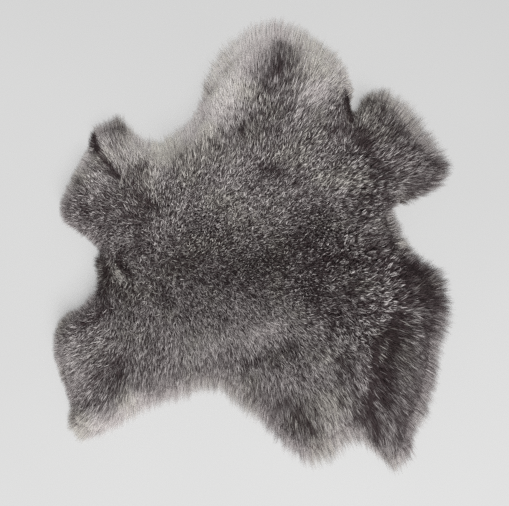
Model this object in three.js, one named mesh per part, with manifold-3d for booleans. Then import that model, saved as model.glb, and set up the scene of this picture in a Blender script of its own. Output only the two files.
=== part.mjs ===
// A dressed rabbit skin laid out flat, fur side up: the hide and its own fur are one solid.
// Millimetres, +Z up. The back runs along X, with the neck at -X and the tail at +X.
// The two belly edges are at +Y and -Y, and the flesh side lies flat at Z = 0.

import * as THREE from 'three';
import { mergeVertices } from 'three/addons/utils/BufferGeometryUtils.js';
import Module from 'manifold-3d';

// The fur's surface
const GRID_STEP = 7.2;          // spacing of the surface points
const TUFT_SPACING = 15;        // distance between neighbouring tufts
const TUFT_RELIEF = 0.42;       // height of the tufts, as a share of the pile
const TUFT_LENGTH = 26;         // how far a tuft is drawn out along its hair
const TUFT_SAMPLES = 5;         // places that are averaged along a tuft
const LOWEST_FUR = 3;           // fur left at the bottom of a fold
const STATION_BLEND = 3;        // how sharply each pile station rules its own ground
const STATION_CORE = 1;         // radius within which a station's word is final

// The rim: hair that stands is high and short there, hair that lies is low and long
const STANDING_RIM = 9.2;       // fur height at the hide's edge where no hair passes it
const RIM_DROP = 0.3;           // how much lower the edge is for each millimetre of reach
const SHORT_ROUNDING = 10;      // width over which a short-haired edge rises to full pile
const LONG_ROUNDING = 1.3;      // extra width for each millimetre of reach
const POINTS_PER_ROW = 3;       // outline points between two rows of the rim table

// The locks along the rim
const LOCK_SPACING = 6.2;
const LOCK_ROOT = 5;            // how far a lock starts inside the hide's edge
const LOCK_WIDTH = 11;
const LOCK_CREST = 1.25;        // height of a lock's root, as a share of the fur at the edge
const LOCK_WAIST = 0.72;        // width of a lock halfway out, as a share of its root
const LOCK_SLUMP = 0.62;        // height of a lock halfway out, as a share of its root
const LOCK_SHORTEST = 0.82;
const LOCK_LONGEST = 1.2;
const LOCK_SWAY = 0.3;          // sideways stray of a tip, as a share of the lock's length
const SHORTEST_REACH = 2.5;

const CUT_HEIGHT = 60;          // taller than any fur
const FACE_TOLERANCE = 0.02;    // faces that lie this close to one plane become one face
const MERGE_DISTANCE = 1e-4;    // corners closer than this are one corner

// The outline, counterclockwise from the fold in the first foreleg. x and y are where the
// hair ends, reach is how far it passes the hide's edge, and lean is the way it points,
// in degrees from +X. Side a is the +Y side of the back and side b the -Y side.
const RIM = [
  { at: 'foreleg a fold lip', x: -136, y: 102, reach: 4, lean: 112 },
  { at: 'foreleg a fold mouth', x: -139, y: 86, reach: 3, lean: 175 },
  { at: 'foreleg a front', x: -154, y: 59, reach: 4, lean: 150 },
  { at: 'cheek a', x: -163, y: 35, reach: 3, lean: 165 },
  { at: 'cheek a corner', x: -160, y: 21, reach: 3, lean: 205 },
  { at: 'neck a', x: -138, y: 7, reach: 3, lean: 245 },
  { at: 'neck notch', x: -130, y: -1, reach: 3, lean: 200 },
  { at: 'neck tuft', x: -134, y: -7, reach: 5, lean: 172 },
  { at: 'neck middle', x: -132, y: -29, reach: 3, lean: 180 },
  { at: 'neck b', x: -144, y: -51, reach: 3, lean: 135 },
  { at: 'cheek b', x: -159, y: -59, reach: 3, lean: 115 },
  { at: 'cheek b corner', x: -167, y: -70, reach: 3, lean: 150 },
  { at: 'foreleg b front', x: -169, y: -90, reach: 3, lean: 185 },
  { at: 'foreleg b shin', x: -162, y: -115, reach: 3, lean: 205 },
  { at: 'foreleg b crease mouth', x: -155, y: -135, reach: 3, lean: 200 },
  { at: 'foreleg b paw', x: -157, y: -151, reach: 5, lean: 215 },
  { at: 'foreleg b tip', x: -142, y: -166, reach: 9, lean: 250 },
  { at: 'foreleg b inner', x: -117, y: -155, reach: 10, lean: 262 },
  { at: 'flank b front', x: -97, y: -141, reach: 10, lean: 272 },
  { at: 'flank b', x: -65, y: -130, reach: 10, lean: 271 },
  { at: 'flank b waist', x: -32, y: -121, reach: 10, lean: 269 },
  { at: 'belly b front', x: -8, y: -135, reach: 11, lean: 262 },
  { at: 'belly b shoulder', x: 18, y: -159, reach: 12, lean: 266 },
  { at: 'belly b corner', x: 38, y: -179, reach: 12, lean: 272 },
  { at: 'belly b tip', x: 50, y: -186, reach: 13, lean: 280 },
  { at: 'belly b back', x: 71, y: -178, reach: 14, lean: 290 },
  { at: 'hind leg b notch', x: 91, y: -166, reach: 13, lean: 288 },
  { at: 'hind leg b inner', x: 107, y: -178, reach: 9, lean: 277 },
  { at: 'hind leg b tip', x: 122, y: -191, reach: 10, lean: 287 },
  { at: 'hind leg b heel', x: 137, y: -178, reach: 9, lean: 306 },
  { at: 'hind leg b hollow', x: 137, y: -163, reach: 7, lean: 322 },
  { at: 'hind leg b outer', x: 149, y: -142, reach: 9, lean: 325 },
  { at: 'thigh b', x: 157, y: -112, reach: 8, lean: 330 },
  { at: 'thigh b root', x: 160, y: -87, reach: 8, lean: 340 },
  { at: 'tail b', x: 169, y: -60, reach: 10, lean: 355 },
  { at: 'tail', x: 163, y: -25, reach: 10, lean: 20 },
  { at: 'tail a', x: 144, y: -9, reach: 9, lean: 38 },
  { at: 'rump a', x: 129, y: 13, reach: 8, lean: 28 },
  { at: 'hind leg a hock', x: 121, y: 32, reach: 5, lean: 5 },
  { at: 'hind leg a under', x: 137, y: 42, reach: 7, lean: 345 },
  { at: 'hind leg a sole', x: 158, y: 53, reach: 8, lean: 355 },
  { at: 'hind leg a tip', x: 169, y: 68, reach: 9, lean: 12 },
  { at: 'hind leg a toe', x: 155, y: 91, reach: 11, lean: 30 },
  { at: 'hind leg a back', x: 137, y: 118, reach: 12, lean: 46 },
  { at: 'hind leg a top', x: 115, y: 133, reach: 8, lean: 70 },
  { at: 'hind leg a inner', x: 98, y: 129, reach: 4, lean: 118 },
  { at: 'belly a notch', x: 88, y: 115, reach: 2.5, lean: 90 },
  { at: 'belly a notch lip', x: 84, y: 140, reach: 4, lean: 22 },
  { at: 'belly a back', x: 73, y: 164, reach: 9, lean: 50 },
  { at: 'belly a corner', x: 43, y: 184, reach: 12, lean: 70 },
  { at: 'belly a tip', x: 24, y: 191, reach: 13, lean: 86 },
  { at: 'belly a shoulder', x: 0, y: 186, reach: 13, lean: 100 },
  { at: 'belly a front', x: -25, y: 165, reach: 12, lean: 116 },
  { at: 'belly a side', x: -40, y: 140, reach: 9, lean: 130 },
  { at: 'flank a corner', x: -43, y: 118, reach: 7, lean: 122 },
  { at: 'flank a', x: -58, y: 102, reach: 10, lean: 102 },
  { at: 'flank a front', x: -81, y: 88, reach: 10, lean: 92 },
  { at: 'foreleg a inner', x: -105, y: 102, reach: 9, lean: 88 },
  { at: 'foreleg a tip', x: -114, y: 111, reach: 8, lean: 95 },
  { at: 'foreleg a corner', x: -129, y: 104, reach: 6, lean: 106 },
];

// Stations on the fur: the way the hair lies, in degrees from +X, and the height it
// stands to once the leaning hair has settled.
const STATIONS = [
  { at: 'neck', x: -113, y: -15, lean: 0, pile: 15 },
  { at: 'mid back', x: 0, y: -15, lean: 5, pile: 17.5 },
  { at: 'rump', x: 80, y: -11, lean: 20, pile: 17 },
  { at: 'shoulder a', x: -62, y: 49, lean: 75, pile: 15.5 },
  { at: 'foreleg a root', x: -87, y: 70, lean: 92, pile: 13.5 },
  { at: 'foreleg a tip', x: -113, y: 92, lean: 108, pile: 11 },
  { at: 'foreleg a front', x: -145, y: 60, lean: 135, pile: 11 },
  { at: 'cheek a', x: -150, y: 25, lean: 165, pile: 11.5 },
  { at: 'flank a', x: 0, y: 49, lean: 50, pile: 16.5 },
  { at: 'belly a front', x: -27, y: 125, lean: 110, pile: 13 },
  { at: 'belly a tip', x: 15, y: 170, lean: 92, pile: 11 },
  { at: 'belly a back', x: 50, y: 155, lean: 65, pile: 12 },
  { at: 'loin a', x: 59, y: 67, lean: 42, pile: 16 },
  { at: 'hind leg a root', x: 102, y: 95, lean: 48, pile: 12 },
  { at: 'hind leg a top', x: 130, y: 103, lean: 42, pile: 10.5 },
  { at: 'hind leg a tip', x: 155, y: 68, lean: 20, pile: 9.5 },
  { at: 'hock a', x: 110, y: 36, lean: 15, pile: 14 },
  { at: 'tail a', x: 119, y: -24, lean: 33, pile: 15 },
  { at: 'tail', x: 158, y: -48, lean: 5, pile: 12 },
  { at: 'tail b', x: 102, y: -54, lean: -5, pile: 15.5 },
  { at: 'thigh b', x: 142, y: -90, lean: -42, pile: 12.5 },
  { at: 'hind leg b tip', x: 123, y: -170, lean: -68, pile: 9.5 },
  { at: 'hind leg b inner', x: 93, y: -138, lean: -66, pile: 12 },
  { at: 'loin b', x: 50, y: -90, lean: -48, pile: 15.5 },
  { at: 'belly b tip', x: 45, y: -160, lean: -78, pile: 11.5 },
  { at: 'belly b front', x: 7, y: -128, lean: -95, pile: 12.5 },
  { at: 'flank b', x: -44, y: -85, lean: -82, pile: 15 },
  { at: 'foreleg b inner', x: -113, y: -132, lean: -98, pile: 11.5 },
  { at: 'foreleg b tip', x: -139, y: -153, lean: -112, pile: 10 },
  { at: 'foreleg b front', x: -155, y: -92, lean: -140, pile: 11 },
  { at: 'shoulder b', x: -113, y: -62, lean: -95, pile: 14 },
  { at: 'back b', x: -20, y: -45, lean: -45, pile: 17 },
];

// Folds and creases where the hide buckles and the fur parts.
const FOLDS = [
  { at: 'foreleg a fold', depth: 7, width: 7.5, path: [[-145, 98], [-127, 77], [-114, 57]] },
  { at: 'belly a gusset', depth: 7, width: 7, path: [[86, 124], [86, 103], [80, 88]] },
  { at: 'hind leg a hollow', depth: 3, width: 10, path: [[106, 88], [121, 70], [137, 56]] },
  { at: 'flank a dimple', depth: 2.4, width: 9, path: [[8, 64], [30, 71]] },
  { at: 'flank b dimple', depth: 2.4, width: 9, path: [[5, -82], [33, -77]] },
  { at: 'foreleg b crease', depth: 6, width: 7, path: [[-160, -141], [-139, -130], [-126, -115]] },
  { at: 'foreleg b valley', depth: 3.5, width: 11, path: [[-126, -115], [-102, -94]] },
  {
    at: 'hind leg b valley', depth: 5.5, width: 9,
    path: [[132, -55], [116, -76], [106, -98], [104, -130], [109, -162]],
  },
];

const wasm = await Module();
wasm.setup();

// A closed three.js geometry as a solid that can be joined and cut.
function toSolid(geometry) {
  const bare = geometry.clone();
  bare.deleteAttribute('normal');
  bare.deleteAttribute('uv');
  const merged = mergeVertices(bare, MERGE_DISTANCE);
  return new wasm.Manifold(new wasm.Mesh({
    numProp: 3,
    vertProperties: new Float32Array(merged.attributes.position.array),
    triVerts: new Uint32Array(merged.index.array),
  }));
}

// A solid back as three.js geometry.
function toGeometry(solid) {
  const { vertProperties, triVerts } = solid.getMesh();
  const geometry = new THREE.BufferGeometry();
  geometry.setAttribute('position', new THREE.BufferAttribute(vertProperties, 3));
  geometry.setIndex(new THREE.BufferAttribute(triVerts, 1));
  geometry.computeVertexNormals();
  return geometry;
}

// A fixed value between 0 and 1 for each pair of whole numbers.
function scatter(i, j) {
  const value = Math.sin(i * 127.1 + j * 311.7) * 43758.5453;
  return value - Math.floor(value);
}

// A smooth field of bumps, TUFT_SPACING apart.
function bumps(x, y) {
  const u = x / TUFT_SPACING;
  const v = y / TUFT_SPACING;
  const i = Math.floor(u);
  const j = Math.floor(v);
  const s = THREE.MathUtils.smoothstep(u - i, 0, 1);
  const t = THREE.MathUtils.smoothstep(v - j, 0, 1);
  const near = THREE.MathUtils.lerp(scatter(i, j), scatter(i + 1, j), s);
  const far = THREE.MathUtils.lerp(scatter(i, j + 1), scatter(i + 1, j + 1), s);
  return THREE.MathUtils.lerp(near, far, t);
}

// The unit vector that points the way of an angle in degrees.
function heading(degrees) {
  const angle = THREE.MathUtils.degToRad(degrees);
  return new THREE.Vector2(Math.cos(angle), Math.sin(angle));
}

// The way the hair lies and the height it stands to at a place on the fur.
function furAt(x, y) {
  const lean = new THREE.Vector2();
  let pile = 0;
  let total = 0;
  for (const station of STATIONS) {
    const distance = Math.hypot(x - station.x, y - station.y) + STATION_CORE;
    const weight = distance ** -STATION_BLEND;
    lean.addScaledVector(heading(station.lean), weight);
    pile += station.pile * weight;
    total += weight;
  }
  return { lean: lean.normalize(), pile: pile / total };
}

// Shortest distance from a place to a run of points.
function distanceToPath(place, path) {
  const nearest = new THREE.Vector3();
  let shortest = Infinity;
  for (let k = 1; k < path.length; k += 1) {
    const start = new THREE.Vector3(path[k - 1][0], path[k - 1][1], 0);
    const end = new THREE.Vector3(path[k][0], path[k][1], 0);
    new THREE.Line3(start, end).closestPointToPoint(place, true, nearest);
    shortest = Math.min(shortest, nearest.distanceTo(place));
  }
  return shortest;
}

// The hide's edge and the line of the hair tips, as two closed curves that share their rows.
function rimCurves() {
  const tips = RIM.map((row) => new THREE.Vector3(row.x, row.y, 0));
  const edges = RIM.map((row) => {
    const way = heading(row.lean).multiplyScalar(row.reach);
    return new THREE.Vector3(row.x - way.x, row.y - way.y, 0);
  });
  return {
    edge: new THREE.CatmullRomCurve3(edges, true, 'centripetal'),
    tip: new THREE.CatmullRomCurve3(tips, true, 'centripetal'),
  };
}

const rim = rimCurves();
const edgePoints = rim.edge.getPoints(RIM.length * POINTS_PER_ROW).slice(0, -1);

// Hair reach at a share of the way round the rim.
function reachAt(share) {
  const row = share * RIM.length;
  const here = RIM[Math.floor(row) % RIM.length].reach;
  const next = RIM[(Math.floor(row) + 1) % RIM.length].reach;
  return THREE.MathUtils.lerp(here, next, row - Math.floor(row));
}

// Fur height right at the hide's edge.
function rimHeight(reach) {
  return STANDING_RIM - RIM_DROP * reach;
}

// How far a place lies inside the hide's edge, nought outside it, and the hair's reach there.
function nearestRim(place) {
  const count = edgePoints.length;
  let nearest = 0;
  let shortest = Infinity;
  for (let k = 0; k < count; k += 1) {
    const distance = edgePoints[k].distanceTo(place);
    if (distance < shortest) {
      nearest = k;
      shortest = distance;
    }
  }
  const before = edgePoints[(nearest + count - 1) % count];
  const after = edgePoints[(nearest + 1) % count];
  const along = after.clone().sub(before);
  const out = place.clone().sub(edgePoints[nearest]);
  const inside = along.x * out.y - along.y * out.x > 0;
  return { inward: inside ? shortest : 0, reach: reachAt(nearest / count) };
}

// Height of the fur at a place inside the hide's edge.
function furHeight(x, y) {
  const place = new THREE.Vector3(x, y, 0);
  const { lean, pile } = furAt(x, y);
  const { inward, reach } = nearestRim(place);
  const rounding = Math.min(1, inward / (SHORT_ROUNDING + LONG_ROUNDING * reach));
  const rise = Math.sqrt(1 - (1 - rounding) ** 2);

  let tuft = 0;
  for (let k = 0; k < TUFT_SAMPLES; k += 1) {
    const along = TUFT_LENGTH * (k / (TUFT_SAMPLES - 1) - 0.5);
    tuft += bumps(x + lean.x * along, y + lean.y * along) / TUFT_SAMPLES;
  }

  const full = pile * (1 + TUFT_RELIEF * (tuft - 0.5));
  let height = THREE.MathUtils.lerp(rimHeight(reach), full, rise);
  for (const fold of FOLDS) {
    const off = distanceToPath(place, fold.path) / fold.width;
    height -= fold.depth * Math.exp(-off * off);
  }
  return Math.max(height, LOWEST_FUR);
}

// A block over the whole skin whose top is the fur's surface.
function furBlock() {
  const box = new THREE.Box3().setFromPoints(edgePoints).expandByScalar(GRID_STEP);
  const size = box.getSize(new THREE.Vector3());
  const centre = box.getCenter(new THREE.Vector3());
  const across = Math.ceil(size.x / GRID_STEP);
  const along = Math.ceil(size.y / GRID_STEP);
  const block = new THREE.BoxGeometry(size.x, size.y, GRID_STEP, across, along, 1);
  block.translate(centre.x, centre.y, 0);
  const points = block.attributes.position;
  for (let k = 0; k < points.count; k += 1) {
    if (points.getZ(k) > 0) points.setZ(k, furHeight(points.getX(k), points.getY(k)));
  }
  return toSolid(block);
}

// A tall prism over the hide's outline.
function hideCutter() {
  const outline = new THREE.Shape(edgePoints.map((point) => new THREE.Vector2(point.x, point.y)));
  return toSolid(new THREE.ExtrudeGeometry(outline, { depth: CUT_HEIGHT, bevelEnabled: false }));
}

// A lock of hair: a three-sided taper that lies flat on the surface from root to tip.
function lock(root, tip, width, height) {
  const way = tip.clone().sub(root);
  const side = new THREE.Vector3(-way.y, way.x, 0).normalize().multiplyScalar(width / 2);
  const waist = root.clone().addScaledVector(way, 0.5);
  const sections = [
    { centre: root, share: 1, ridge: height },
    { centre: waist, share: LOCK_WAIST, ridge: height * LOCK_SLUMP },
  ];
  const corners = sections.flatMap(({ centre, share, ridge }) => [
    centre.clone().addScaledVector(side, -share),
    centre.clone().addScaledVector(side, share),
    centre.clone().setZ(ridge),
  ]);
  const geometry = new THREE.BufferGeometry().setFromPoints([...corners, tip]);
  geometry.setIndex([
    0, 2, 1,
    0, 1, 4, 0, 4, 3,
    1, 2, 5, 1, 5, 4,
    2, 0, 3, 2, 3, 5,
    3, 4, 6, 4, 5, 6, 5, 3, 6,
  ]);
  return toSolid(geometry);
}

// The locks all the way round, each a little longer, shorter or more askew than the next.
function rimLocks() {
  const count = Math.round(rim.edge.getLength() / LOCK_SPACING);
  const locks = [];
  for (let k = 0; k < count; k += 1) {
    const share = rim.edge.getUtoTmapping(k / count);
    const edge = rim.edge.getPoint(share);
    const way = rim.tip.getPoint(share).sub(edge);
    way.setLength(Math.max(way.length(), SHORTEST_REACH));
    const sway = new THREE.Vector3(-way.y, way.x, 0).multiplyScalar(
      LOCK_SWAY * (scatter(k, 1) - 0.5),
    );
    const stretch = THREE.MathUtils.lerp(LOCK_SHORTEST, LOCK_LONGEST, scatter(k, 2));
    const tip = edge.clone().addScaledVector(way, stretch).add(sway);
    const root = edge.clone().addScaledVector(way.clone().normalize(), -LOCK_ROOT);
    locks.push(lock(root, tip, LOCK_WIDTH, LOCK_CREST * rimHeight(reachAt(share))));
  }
  return locks;
}

// The whole pelt, with the middle of its outline over the origin.
function pelt() {
  const slab = furBlock().intersect(hideCutter());
  const solid = rimLocks().reduce((whole, piece) => whole.add(piece), slab);
  const geometry = toGeometry(solid.asOriginal().simplify(FACE_TOLERANCE));
  geometry.computeBoundingBox();
  const middle = geometry.boundingBox.getCenter(new THREE.Vector3());
  const fur = new THREE.MeshStandardMaterial({ color: 0x6f6b69, roughness: 0.95, metalness: 0 });
  const mesh = new THREE.Mesh(geometry, fur);
  mesh.name = 'pelt';
  mesh.position.set(-middle.x, -middle.y, 0);
  return mesh;
}

const group = new THREE.Group();
group.add(pelt());

export default group;
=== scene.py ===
"""A dressed rabbit skin laid out flat, fur side up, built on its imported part.

Metres, +Z up. The back runs along X, with the neck at -X and the tail at +X, and the flesh
side lies at Z = 0. The tables are in millimetres, in the part source's own coordinates.
Side a is the +Y side of the back and side b the -Y side.
"""

import itertools
import logging
import math
from dataclasses import dataclass, field
from enum import Enum, IntEnum

import bmesh
import bpy
import numpy as np
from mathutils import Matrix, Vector
from mathutils.bvhtree import BVHTree


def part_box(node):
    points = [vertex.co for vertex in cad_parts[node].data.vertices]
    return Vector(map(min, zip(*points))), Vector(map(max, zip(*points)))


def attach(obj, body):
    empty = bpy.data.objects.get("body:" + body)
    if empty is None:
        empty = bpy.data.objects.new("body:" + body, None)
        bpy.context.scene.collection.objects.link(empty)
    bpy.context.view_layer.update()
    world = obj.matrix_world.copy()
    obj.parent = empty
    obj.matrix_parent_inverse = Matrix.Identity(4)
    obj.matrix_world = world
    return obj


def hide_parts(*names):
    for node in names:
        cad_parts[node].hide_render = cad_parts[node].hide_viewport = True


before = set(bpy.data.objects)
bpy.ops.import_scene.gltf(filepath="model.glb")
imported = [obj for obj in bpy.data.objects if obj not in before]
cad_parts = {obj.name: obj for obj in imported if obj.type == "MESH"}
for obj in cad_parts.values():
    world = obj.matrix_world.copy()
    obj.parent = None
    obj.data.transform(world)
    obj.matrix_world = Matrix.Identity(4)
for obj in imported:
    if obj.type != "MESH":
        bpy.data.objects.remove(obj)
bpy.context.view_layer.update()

Array = np.ndarray
Socket = bpy.types.NodeSocket
Triple = tuple[float, float, float]
Pairs = tuple[tuple[float, float], ...]

LOG = logging.getLogger("pelt")
NODE = "pelt"
BODY = "root"
MM = 0.001
TABLE_CENTRE = (0.495, 1.094)  # mm, where the tables' coordinates put the part's own origin
HAIR_MAP = "OFBake"
TINY = 1e-12
SNAP = 1e-6  # metres within which a cut keeps to a point that is already there
ROW_STEP = math.sqrt(0.75)  # distance between the rows of a triangular scatter, in spacings


@dataclass(frozen=True)
class RimRow:
    """Where the hair ends at a place on the rim, how far it passes the hide, and its way."""

    at: str
    x: float
    y: float
    reach: float
    lean: float


@dataclass(frozen=True)
class Station:
    """The way the hair lies at a place on the fur and the height that its pile has there."""

    at: str
    x: float
    y: float
    lean: float
    pile: float


@dataclass(frozen=True)
class Patch:
    """A patch of the coat, round or drawn out along a run of places.

    Its strength says how much paler the hair is there, or how tufted where the table is that
    of the tufts, and its warmth how much browner. Along a fold, crease, valley or the notch a
    darker strength is painted shade, and the sheen patch on hind leg b is a painted highlight.
    """

    at: str
    path: Pairs
    radius: float
    strength: float
    warmth: float = 0.0


RIM = tuple(RimRow(*row) for row in (
    ("foreleg a fold lip", -136, 102, 4, 112),
    ("foreleg a fold mouth", -139, 86, 3, 175),
    ("foreleg a front", -154, 59, 4, 150),
    ("cheek a", -163, 35, 3, 165),
    ("cheek a corner", -160, 21, 3, 205),
    ("neck a", -138, 7, 3, 245),
    ("neck notch", -129, -4, 3, 200),
    ("neck tuft", -134, -11, 5, 172),
    ("neck middle", -132, -29, 3, 180),
    ("neck b", -144, -51, 3, 135),
    ("cheek b", -159, -59, 3, 115),
    ("cheek b corner", -167, -70, 3, 150),
    ("foreleg b front", -169, -90, 3, 185),
    ("foreleg b shin", -162, -115, 3, 205),
    ("foreleg b crease mouth", -155, -135, 3, 200),
    ("foreleg b paw", -157, -151, 5, 215),
    ("foreleg b tip", -142, -166, 9, 250),
    ("foreleg b inner", -117, -155, 10, 262),
    ("flank b front", -97, -141, 10, 272),
    ("flank b", -65, -130, 10, 271),
    ("flank b waist", -32, -121, 10, 269),
    ("belly b front", -8, -137, 11, 262),
    ("belly b shoulder", 18, -159, 12, 266),
    ("belly b corner", 38, -179, 12, 272),
    ("belly b tip", 50, -186, 13, 280),
    ("belly b back", 71, -178, 14, 290),
    ("hind leg b notch", 91, -166, 13, 288),
    ("hind leg b inner", 107, -178, 9, 277),
    ("hind leg b tip", 123, -191, 10, 287),
    ("hind leg b heel", 140, -178, 9, 306),
    ("hind leg b hollow", 140, -162, 7, 322),
    ("hind leg b outer", 151, -142, 9, 325),
    ("thigh b", 159, -112, 8, 330),
    ("thigh b root", 162, -87, 8, 340),
    ("tail b", 170, -60, 10, 355),
    ("tail", 164, -24, 10, 20),
    ("tail a", 144, -9, 9, 38),
    ("rump a", 129, 13, 8, 28),
    ("hind leg a hock", 121, 32, 5, 5),
    ("hind leg a under", 138, 40, 7, 340),
    ("hind leg a sole", 161, 49, 9, 350),
    ("hind leg a tip", 169, 68, 9, 12),
    ("hind leg a toe", 157, 92, 11, 30),
    ("hind leg a back", 137, 118, 12, 46),
    ("hind leg a top", 115, 133, 8, 70),
    ("hind leg a inner", 98, 129, 4, 118),
    ("belly a notch", 88, 115, 2.5, 90),
    ("belly a notch lip", 84, 140, 4, 22),
    ("belly a back", 73, 164, 9, 50),
    ("belly a corner", 43, 184, 12, 70),
    ("belly a tip", 24, 191, 13, 86),
    ("belly a shoulder", 0, 186, 13, 100),
    ("belly a front", -25, 165, 12, 116),
    ("belly a side", -42, 138, 9, 133),
    ("flank a corner", -46, 119, 7, 124),
    ("flank a", -58, 102, 10, 102),
    ("flank a front", -81, 88, 10, 92),
    ("foreleg a inner", -105, 102, 9, 88),
    ("foreleg a tip", -114, 111, 8, 95),
    ("foreleg a corner", -129, 104, 6, 106),
))

STATIONS = tuple(Station(*row) for row in (
    ("neck", -113, -15, 0, 16),
    ("mid back", 0, -15, 0, 18),
    ("withers a", -44, 15, 25, 18),
    ("shoulder a", -62, 49, 75, 17),
    ("foreleg a root", -87, 75, 90, 15),
    ("foreleg a tip", -113, 92, 105, 10),
    ("foreleg a front", -143, 62, 130, 14),
    ("cheek a", -152, 28, 160, 16),
    ("belly a front", -27, 118, 110, 13),
    ("belly a shoulder", -10, 161, 105, 11),
    ("belly a tip", 24, 170, 85, 11),
    ("belly a middle", 16, 110, 75, 14),
    ("flank a", -1, 49, 50, 17),
    ("belly a corner", 50, 161, 65, 11),
    ("belly a back", 67, 127, 52, 13),
    ("loin a", 59, 67, 40, 16),
    ("back a", 59, 15, 15, 18),
    ("hind leg a root", 102, 101, 50, 14),
    ("hind leg a top", 132, 105, 45, 12),
    ("hind leg a middle", 136, 75, 28, 14),
    ("hind leg a tip", 158, 67, 18, 13),
    ("hock a", 110, 36, 15, 15),
    ("rump", 80, -11, 30, 17),
    ("tail a", 119, -24, 33, 15),
    ("tail", 153, -37, 18, 12),
    ("tail b", 162, -58, 0, 11),
    ("rump b", 102, -54, 0, 15),
    ("thigh b inner", 85, -71, -48, 15),
    ("thigh b outer", 145, -80, -35, 12),
    ("thigh b", 132, -105, -50, 11),
    ("hind leg b outer", 141, -127, -55, 10),
    ("hind leg b heel", 128, -157, -62, 9),
    ("hind leg b tip", 119, -174, -70, 9),
    ("hind leg b root", 93, -131, -60, 12),
    ("hind leg b inner", 93, -157, -75, 10),
    ("loin b", 59, -105, -45, 14),
    ("belly b back", 59, -157, -68, 11),
    ("flank b back", 33, -97, -52, 15),
    ("belly b tip", 29, -148, -85, 11),
    ("belly b front", 7, -131, -95, 12),
    ("flank b middle", -10, -97, -80, 14),
    ("flank b", -44, -80, -82, 15),
    ("flank b edge", -44, -114, -90, 11),
    ("foreleg b root", -87, -88, -88, 15),
    ("armpit b", -87, -123, -88, 11),
    ("foreleg b inner", -113, -140, -100, 10),
    ("foreleg b middle", -135, -131, -118, 13),
    ("foreleg b tip", -139, -157, -110, 9),
    ("foreleg b front", -152, -118, -130, 13),
    ("cheek b", -160, -88, -145, 14),
    ("shoulder b front", -139, -71, -120, 15),
    ("shoulder b", -113, -62, -95, 16),
    ("withers b", -44, -45, -45, 17),
    ("neck b", -122, -37, -60, 14),
    ("back b", 42, -37, -10, 18),
    ("waist b", 7, -62, -50, 16),
))

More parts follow.
